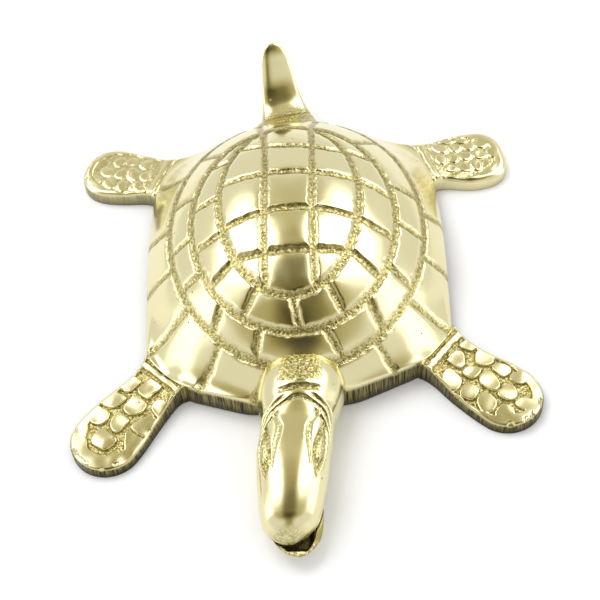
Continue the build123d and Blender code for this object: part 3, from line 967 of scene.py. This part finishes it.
# Braze beads: a ring of brazing alloy run round each tenon's end inside the hollow, which holds the
# pieces together. It froze as a lumpy round bead, and the heat left it dull and pinkish.
braze, tree, shader = new_tree("dull_brazing_alloy")
place = add(tree, "ShaderNodeTexCoord", {}).outputs["Object"]
lump_size = 0.8
lump_height = 0.12
lump = add(
    tree, "ShaderNodeTexNoise", {"Vector": place, "Scale": mm / lump_size, "Detail": 3.0}
).outputs["Fac"]
bloom = add(
    tree, "ShaderNodeMix", {0: lump, 6: linear("#B98F58"), 7: linear("#8A6F45")}, data_type="RGBA"
)
crust = add(
    tree, "ShaderNodeMapRange", {"Value": lump, "To Min": 0.32, "To Max": 0.62}
).outputs["Result"]
swell = add(tree, "ShaderNodeBump", {"Height": lump, "Distance": lump_height / mm, "Strength": 1.0})
tree.links.new(bloom.outputs[2], shader.inputs["Base Color"])
tree.links.new(crust, shader.inputs["Roughness"])
tree.links.new(swell.outputs["Normal"], shader.inputs["Normal"])
shader.inputs["Metallic"].default_value = 1.0

bead_round = 0.55
bead_off_wall = 0.45
bead_swell = 0.12
bead_clear = 0.4
# Round a flipper's tenon: half width, half height, height of the middle and squareness
flipper_bead = (3.85, 1.35, 2.3, 5.0)


def bead_grid(centre, across, axis, half_wide, half_tall, square, seed):
    """A tube round a tenon: the path is |p / a|^n + |q / b|^n = 1 in the wall's plane, and the tube's
    radius swells a little along it."""
    path = np.linspace(0, 2 * np.pi, 96, endpoint=False)[:, None]
    tube = np.linspace(0, 2 * np.pi, 16, endpoint=False)
    p = half_wide * np.sign(np.cos(path)) * np.abs(np.cos(path)) ** (2 / square)
    q = half_tall * np.sign(np.sin(path)) * np.abs(np.sin(path)) ** (2 / square)
    slope = np.hypot(p / half_wide**2, q / half_tall**2) + 1e-9
    out_p, out_q = p / half_wide**2 / slope, q / half_tall**2 / slope
    radius = bead_round * (1 + bead_swell * ripple(path * 4, path * 2, 3.0, seed))
    p = p + radius * np.cos(tube) * out_p
    q = q + radius * np.cos(tube) * out_q
    depth = bead_off_wall + radius * np.sin(tube)
    across, axis = np.array(across), np.array(axis)
    up = np.array([0.0, 0.0, 1.0])
    return (
        np.array(centre) + p[..., None] * across + q[..., None] * up + depth[..., None] * axis
    )


# Each bead's middle on the hollow's wall, the way across and the way in, its half sizes and squareness
round_half = tenon_radius + bead_clear
bead_places = {
    "neck": (
        (0.0, shell_y - hollow_front, tenon_height), (-1.0, 0.0, 0.0), (0.0, 1.0, 0.0),
        round_half, round_half, 2.0,
    ),
    "tail": (
        (0.0, shell_y + hollow_rear, tenon_height), (1.0, 0.0, 0.0), (0.0, -1.0, 0.0),
        round_half, round_half, 2.0,
    ),
}
for name, (x0, y0, direction, _) in seats.items():
    way = np.radians(direction)
    inward = (-np.cos(way), -np.sin(way), 0.0)
    wide, tall, height, square = flipper_bead
    middle = (x0 + hollow_seat * inward[0], shell_y + y0 + hollow_seat * inward[1], height)
    bead_places[name] = (middle, (-inward[1], inward[0], 0.0), inward, wide, tall, square)
for number, (name, bead_place) in enumerate(bead_places.items()):
    bead = skin(name + "_braze", bead_grid(*bead_place, 90 + number), {}, braze, ring=True)
    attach(bead, "root")
    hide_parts(name + "_braze_bead")

# Stage: a plain white floor under a white studio. Two large soft panes stand left and right of the
# object with a dimmer gap between them, and the room behind the camera is dark.
floor_half = 3.0
# Matt white paint, rolled on: all but even, with patches 17 mm across
patch_size = 16.667
floor_paint, tree, shader = new_tree("matt_white_floor")
place = add(tree, "ShaderNodeTexCoord", {}).outputs["Object"]
grain = add(tree, "ShaderNodeTexNoise", {"Vector": place, "Scale": mm / patch_size}).outputs["Fac"]
paint = add(
    tree, "ShaderNodeMix", {0: grain, 6: linear("#FBFBFB"), 7: linear("#F8F8F8")}, data_type="RGBA"
)
tree.links.new(paint.outputs[2], shader.inputs["Base Color"])
shader.inputs["Roughness"].default_value = 0.9
shader.inputs["Specular IOR Level"].default_value = 0.0
floor_mesh = bpy.data.meshes.new("floor")
floor_mesh.from_pydata(
    [(-floor_half, -floor_half, 0), (floor_half, -floor_half, 0),
     (floor_half, floor_half, 0), (-floor_half, floor_half, 0)], [], [(0, 1, 2, 3)]
)
floor_mesh.materials.append(floor_paint)
floor = bpy.data.objects.new("floor", floor_mesh)
bpy.context.scene.collection.objects.link(floor)

world = bpy.data.worlds.new("white_studio")
bpy.context.scene.world = world
world.use_nodes = True
tree = world.node_tree
sky = tree.nodes["Background"]
toward = add(tree, "ShaderNodeTexCoord", {}).outputs["Generated"]
parts = add(tree, "ShaderNodeSeparateXYZ", {"Vector": toward})
sideways = add(tree, "ShaderNodeMath", {0: parts.outputs["X"]}, operation="ABSOLUTE").outputs[0]
rear = parts.outputs["Y"]
rise = parts.outputs["Z"]


def room_part(*edges):
    """A soft-edged part of the room: the product of smooth steps along a direction's parts. Each step
    has the part, where it starts and stops, and its two levels if they aren't 0 and 1."""
    level = 1.0
    for part, low, high, *levels in edges:
        start, stop = levels or (0.0, 1.0)
        edge = add(
            tree, "ShaderNodeMapRange",
            {"Value": part, "From Min": low, "From Max": high, "To Min": start, "To Max": stop},
            interpolation_type="SMOOTHSTEP",
        ).outputs["Result"]
        level = add(tree, "ShaderNodeMath", {0: level, 1: edge}, operation="MULTIPLY").outputs[0]
    return level


# The room is at 0.92 of white. The gap between the panes falls to 0.64 above the object and to 0.46
# overhead, and the front of the room to 0.54. The panes are up to 2.4 over that and lean together at
# the top. A low white board at each front side lights the corners where the dome runs out into the
# flippers.
room_level = 0.92
gap_shift = 0.03
pane_lean = room_part((rise, 0.82, 0.88, 0.0, 0.16))
aside = add(
    tree, "ShaderNodeMath", {0: parts.outputs["X"], 1: gap_shift}, operation="ADD"
).outputs[0]
aside = add(tree, "ShaderNodeMath", {0: aside}, operation="ABSOLUTE").outputs[0]
aside = add(tree, "ShaderNodeMath", {0: aside, 1: pane_lean}, operation="ADD").outputs[0]
gap = room_part(
    (aside, 0.38, 0.26), (rise, 0.45, 0.75), (rise, 0.88, 0.95, 0.28, 0.46), (rear, -0.2, 0.1)
)
front = room_part((rear, 0.15, -0.3, 0.0, 0.38), (sideways, 0.85, 0.5), (rise, 0.52, 0.66))
pane = room_part(
    (aside, 0.29, 0.41), (sideways, 0.9, 0.6, 0.0, 2.4), (rise, 0.52, 0.68), (rear, -0.2, 0.15)
)
board = room_part(
    (sideways, 0.72, 0.82), (rear, 0.18, 0.06), (rear, -0.34, -0.16), (rise, 0.74, 0.6, 0.0, 1.2)
)
studio = room_level
for part, operation in ((gap, "SUBTRACT"), (front, "SUBTRACT"), (pane, "ADD"), (board, "ADD")):
    studio = add(tree, "ShaderNodeMath", {0: studio, 1: part}, operation=operation).outputs[0]
# The camera and the dark room behind it stand in the strip that the front of the dome mirrors. It is
# darkest low at the front, and its middle reaches further down
strip = ((sideways, 0.40, 0.16), (rise, 0.64, 0.76))
dark = add(
    tree, "ShaderNodeMath",
    {0: room_part(*strip, (rear, 0.2, 0.0, 0.0, 0.71)),
     1: room_part(*strip, (rear, -0.4, -0.65, 0.0, 0.17))}, operation="ADD",
).outputs[0]
post = room_part((sideways, 0.20, 0.07), (rear, -0.3, -0.5), (rise, 0.25, 0.4, 0.0, 0.68))
for shade in (dark, post):
    lit = add(tree, "ShaderNodeMath", {0: 1.0, 1: shade}, operation="SUBTRACT").outputs[0]
    studio = add(tree, "ShaderNodeMath", {0: studio, 1: lit}, operation="MULTIPLY").outputs[0]
# What is dim in the room is warm, and what is bright is white
warmth = add(
    tree, "ShaderNodeMix",
    {0: room_part((studio, 0.3, 1.0)), 6: linear("#FFEE9E"), 7: linear("#FFFFFF")}, data_type="RGBA",
).outputs[2]
# The camera sees plain white, only what is mirrored shows the panes, and the rest is lit evenly
even_light = 0.9
rays = add(tree, "ShaderNodeLightPath", {})
seen = add(
    tree, "ShaderNodeMix", {0: rays.outputs["Is Camera Ray"], 2: even_light, 3: 1.0}
).outputs[0]
strength = add(
    tree, "ShaderNodeMix", {0: rays.outputs["Is Glossy Ray"], 2: seen, 3: studio}
).outputs[0]
hue = add(
    tree, "ShaderNodeMix",
    {0: rays.outputs["Is Glossy Ray"], 6: linear("#FFFFFF"), 7: warmth}, data_type="RGBA",
).outputs[2]
tree.links.new(hue, sky.inputs["Color"])
tree.links.new(strength, sky.inputs["Strength"])

lamp_data = bpy.data.lights.new("soft_top_lamp", "AREA")
lamp_data.shape = "DISK"
lamp_data.size = 0.5
lamp_data.energy = 2.2
lamp = bpy.data.objects.new("soft_top_lamp", lamp_data)
lamp.location = (-0.25, 0.2, 0.7)
lamp.visible_glossy = False
lamp.rotation_euler = (-lamp.location).to_track_quat("-Z", "Y").to_euler()
bpy.context.scene.collection.objects.link(lamp)

# Camera: 54 degrees above the horizon, nearly square to the head, turned a little on its own axis
camera_height = np.radians(54.0)
camera_swing = np.radians(2.8)
camera_roll = np.radians(-5.9)
camera_target = Vector((0.34, -3.97, 6.8)) / mm
camera_distance = 0.306
focal_pixels = 1429.0
picture_pixels = 600
camera_data = bpy.data.cameras.new("photo_camera")
camera_data.sensor_width = 36.0
camera_data.lens = focal_pixels / picture_pixels * camera_data.sensor_width
camera_data.clip_start = 0.01
camera = bpy.data.objects.new("photo_camera", camera_data)
bpy.context.scene.collection.objects.link(camera)
bpy.context.scene.camera = camera
away = Vector((
    np.sin(camera_swing) * np.cos(camera_height),
    -np.cos(camera_swing) * np.cos(camera_height),
    np.sin(camera_height),
))
level = Vector((np.cos(camera_swing), np.sin(camera_swing), 0.0))
upright = away.cross(level)
right = level * np.cos(camera_roll) + upright * np.sin(camera_roll)
up = upright * np.cos(camera_roll) - level * np.sin(camera_roll)
stand = Matrix((right, up, away)).transposed().to_4x4()
stand.translation = camera_target + away * camera_distance
camera.matrix_world = stand

bpy.context.scene.view_settings.view_transform = "Standard"
